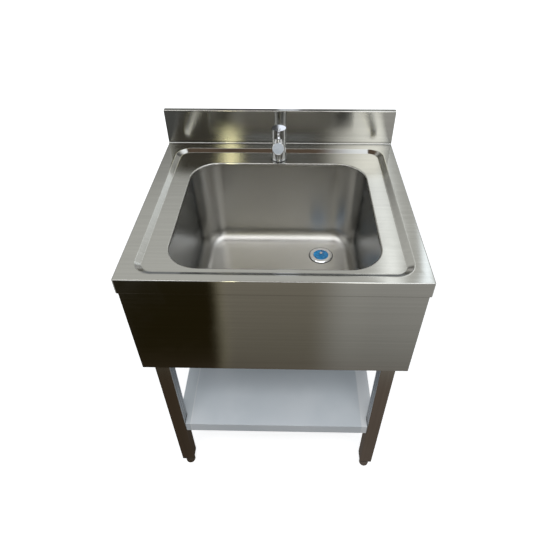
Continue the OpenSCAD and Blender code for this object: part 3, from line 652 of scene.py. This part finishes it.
def room_behind(g, x, rise, behind, overhead):
    """The half of the room before the sink: dark to the left of a thin bright gap, brighter to the right."""
    high = g.ramp(rise, 2, 16)
    far = g.ramp(rise, -58, -36)
    aside_low = g.math("SUBTRACT", behind, g.math("MULTIPLY_ADD", rise, GAP_LEAN, GAP_AZIMUTH))
    aside_high = g.math("MULTIPLY", g.math("ADD", x, GAP_X), DEGREES)
    aside = g.math("MULTIPLY_ADD", high, g.math("SUBTRACT", aside_high, aside_low), aside_low)
    # Left of the gap
    left = g.mix(g.ramp(rise, -38, -30), DARK_FLOOR, NEAR_FLOOR)
    left = g.mix(g.ramp(behind, -30, -37), left, FAR_LEFT_FLOOR)
    left = g.mix(high, left, LEFT_WALL)
    left_end = g.math("MULTIPLY", high, g.band(behind, -23.0, -21.0, -19.4, -18.0))
    left = g.mix(left_end, left, LEFT_PANEL)
    # Right of it: the middle, the bright right side and what lies beyond
    middle = g.mix(high, g.mix(far, MIDDLE_DEEP, MIDDLE_FLOOR), MIDDLE_WALL)
    seen = g.mix(g.ramp(aside, -0.6, 0.6), left, middle)
    right = g.mix(high, g.mix(far, RIGHT_DEEP, RIGHT_FLOOR), RIGHT_WALL)
    seen = g.mix(g.ramp(behind, 3.0, 11.0), seen, right)
    beyond_high = g.mix(g.ramp(behind, 16.0, 19.0), BEYOND_WALL, BEYOND_DARK)
    beyond = g.mix(high, g.mix(far, BEYOND_DEEP, BEYOND_FLOOR), beyond_high)
    seen = g.mix(g.ramp(behind, 12.8, 14.6), seen, beyond)
    # The gap itself, a bluish panel, and the ceiling with its lamps
    seen = g.mix(g.band(aside, -0.65, -0.25, 0.25, 0.65), seen, g.mix(high, GAP_LOW, GAP_HIGH))
    panel = g.math("MULTIPLY", g.band(behind, -7, -5, 2, 4), g.band(rise, 12, 15, 21.5, 24))
    seen = g.mix(panel, seen, BLUE_PANEL)
    seen = g.mix(g.ramp(rise, 46, 54), seen, CEILING_EDGE)
    seen = g.mix(g.ramp(rise, 57, 63), seen, CEILING_LAMPS)
    return g.mix(g.ramp(rise, 71, 76), seen, overhead)


def room(g, direction):
    """Colour seen in a direction. rise is the angle above the horizon; ahead and behind are the angles to
    the right of straight ahead (+Y) and straight behind (-Y); aslant is 0 there and 90 at the sides."""
    x, y, z = g.add("ShaderNodeSeparateXYZ", {0: direction}).outputs[:]
    rise = g.math("MULTIPLY", g.math("ARCSINE", z), DEGREES)
    ahead = g.math("MULTIPLY", g.math("ARCTAN2", x, y), DEGREES)
    behind = g.math("MULTIPLY", g.math("ARCTAN2", x, g.math("MULTIPLY", y, -1.0)), DEGREES)
    overhead = g.mix(g.ramp(x, 0.05, 0.16), CEILING_DIM, CEILING_LIT)
    front = room_ahead(g, rise, ahead, overhead)
    back = room_behind(g, x, rise, behind, overhead)
    around = g.mix(g.ramp(y, -0.20, 0.06), back, front)
    aslant = g.math("ARCTAN2", g.math("ABSOLUTE", x), g.math("ABSOLUTE", y))
    aslant = g.math("MULTIPLY", aslant, DEGREES)
    side = g.mix(g.ramp(rise, -6, 6), SIDE_FLOOR, SIDE_WALL)
    side = g.mix(g.band(aslant, 70, 74, 77, 84), side, SIDE_STRIP)
    sideways = g.math("MULTIPLY", g.ramp(aslant, 38, 52), g.ramp(rise, 50, 36))
    return g.mix(sideways, around, side)


BACKDROP = (0.93, 0.93, 0.93, 1.0)
SOFT_LIGHT = (0.27, 0.29, 0.31, 1.0)
FLOOR_HALF = 16.0
FLOOR_GAP = 0.0002
PALE_DARK, PALE_LIGHT = (0.86, 0.86, 0.86), (0.90, 0.90, 0.90)
BROWN_LEFT, BROWN_DARK, BROWN_LIGHT = (0.055, 0.040, 0.026), (0.10, 0.078, 0.062), (0.16, 0.135, 0.115)
DIM_FLOOR = (0.30, 0.27, 0.24, 1.0)


def make_world():
    """The camera sees a plain pale backdrop, mirrored rays see the room, and soft light is even."""
    world = bpy.data.worlds.new("studio")
    bpy.context.scene.world = world
    world.use_nodes = True
    g = Graph(world.node_tree)
    world.node_tree.nodes.clear()
    direction = g.add("ShaderNodeTexCoord").outputs["Generated"]
    seen = g.add("ShaderNodeBackground", {"Color": room(g, direction), "Strength": 1.0}).outputs[0]
    plain = g.add("ShaderNodeBackground", {"Color": BACKDROP, "Strength": 1.0}).outputs[0]
    soft = g.add("ShaderNodeBackground", {"Color": SOFT_LIGHT, "Strength": 1.0}).outputs[0]
    path = g.add("ShaderNodeLightPath").outputs
    both = g.add("ShaderNodeMixShader", {0: path["Is Glossy Ray"], 1: soft, 2: seen}).outputs[0]
    both = g.add("ShaderNodeMixShader", {0: path["Is Camera Ray"], 1: both, 2: plain}).outputs[0]
    g.put(g.add("ShaderNodeOutputWorld").inputs["Surface"], both)


def make_floor():
    """A plain pale floor. Mirrored rays see brown boards near the sink and the room's floor further away."""
    mesh = bpy.data.meshes.new("floor")
    corners = [(x * FLOOR_HALF, y * FLOOR_HALF, 0) for x, y in ((-1, -1), (1, -1), (1, 1), (-1, 1))]
    mesh.from_pydata(corners, [], [(0, 1, 2, 3)])
    floor = bpy.data.objects.new("floor", mesh)
    bpy.context.scene.collection.objects.link(floor)
    floor.location.z = -FLOOR_GAP
    material = bpy.data.materials.new("pale_floor")
    material.use_nodes = True
    g = Graph(material.node_tree)
    material.node_tree.nodes.clear()
    place = g.add("ShaderNodeNewGeometry").outputs
    away = g.add("ShaderNodeVectorMath", {0: place["Incoming"]}, operation="SCALE")
    away.inputs["Scale"].default_value = -1.0
    y = g.add("ShaderNodeSeparateXYZ", {0: place["Position"]}).outputs[1]
    x = g.add("ShaderNodeSeparateXYZ", {0: place["Position"]}).outputs[0]
    near = g.math("MULTIPLY", g.band(y, -0.78, -0.62, 1.0, 1.7), g.ramp(g.math("ABSOLUTE", x), 1.2, 0.9))
    mottle = g.noise(place["Position"], 14.0, 4.0, 0.6)
    brown = g.mix(mottle, BROWN_DARK, BROWN_LIGHT)
    brown = g.mix(g.ramp(x, -0.45, 0.25), BROWN_LEFT, brown)
    tone = g.mix(near, room(g, away.outputs[0]), brown)
    mirrored = g.add("ShaderNodeEmission", {"Color": tone, "Strength": 1.0}).outputs[0]
    grain = g.mix(g.noise(place["Position"], 40.0, 4.0, 0.6), PALE_DARK, PALE_LIGHT)
    matt = g.add("ShaderNodeBsdfDiffuse", {"Color": grain}).outputs[0]
    dim = g.add("ShaderNodeBsdfDiffuse", {"Color": DIM_FLOOR}).outputs[0]
    reach = g.add("ShaderNodeVectorMath", {0: place["Position"]}, operation="LENGTH").outputs["Value"]
    glow = g.add("ShaderNodeEmission", {"Strength": g.ramp(reach, 0.9, 3.0, 0.66, 0.97)}).outputs[0]
    lit = g.add("ShaderNodeAddShader", {0: matt, 1: glow}).outputs[0]
    path = g.add("ShaderNodeLightPath").outputs
    plain = g.add("ShaderNodeMixShader", {0: path["Is Camera Ray"], 1: dim, 2: lit}).outputs[0]
    both = g.add("ShaderNodeMixShader", {0: path["Is Glossy Ray"], 1: plain, 2: mirrored}).outputs[0]
    g.put(g.add("ShaderNodeOutputMaterial").inputs["Surface"], both)
    mesh.materials.append(material)


def area_light(name, place, target, size, power):
    data = bpy.data.lights.new(name, "AREA")
    data.shape = "RECTANGLE"
    data.size, data.size_y = size
    data.energy = power
    light = bpy.data.objects.new(name, data)
    bpy.context.scene.collection.objects.link(light)
    light.location = place
    light.rotation_mode = "QUATERNION"
    light.rotation_quaternion = (Vector(target) - Vector(place)).to_track_quat("-Z", "Y")
    light.visible_glossy = False
    light.visible_camera = False


CAMERA_X, CAMERA_Y, CAMERA_OVER_DECK = 0.0363, -1.0445, 0.6888
CAMERA_YAW, CAMERA_PITCH, CAMERA_ROLL = 1.257, 42.036, -0.184
LENS_MM = 31.405


def make_camera():
    data = bpy.data.cameras.new("camera")
    camera = bpy.data.objects.new("camera", data)
    bpy.context.scene.collection.objects.link(camera)
    bpy.context.scene.camera = camera
    data.sensor_width = 36.0
    data.lens = LENS_MM
    data.shift_x = -0.0295
    data.shift_y = 0.0033
    camera.location = (CAMERA_X, CAMERA_Y, DECK_Z * MM + CAMERA_OVER_DECK)
    yaw, pitch, roll = (math.radians(a) for a in (CAMERA_YAW, CAMERA_PITCH, CAMERA_ROLL))
    level = Euler((math.pi / 2 - pitch, 0.0, yaw)).to_quaternion()
    camera.rotation_mode = "QUATERNION"
    camera.rotation_quaternion = level @ Quaternion((0.0, 0.0, 1.0), roll)
    data.clip_start = 0.05


make_world()
make_floor()
area_light("front_fill", (0.0, -1.55, 2.5), (0.0, -0.1, 0.25), (2.2, 1.0), 27.0)
area_light("top_fill", (0.0, -0.4, 3.2), (0.0, 0.0, 0.8), (2.5, 2.5), 20.0)
make_camera()
bpy.context.scene.view_settings.view_transform = "Standard"
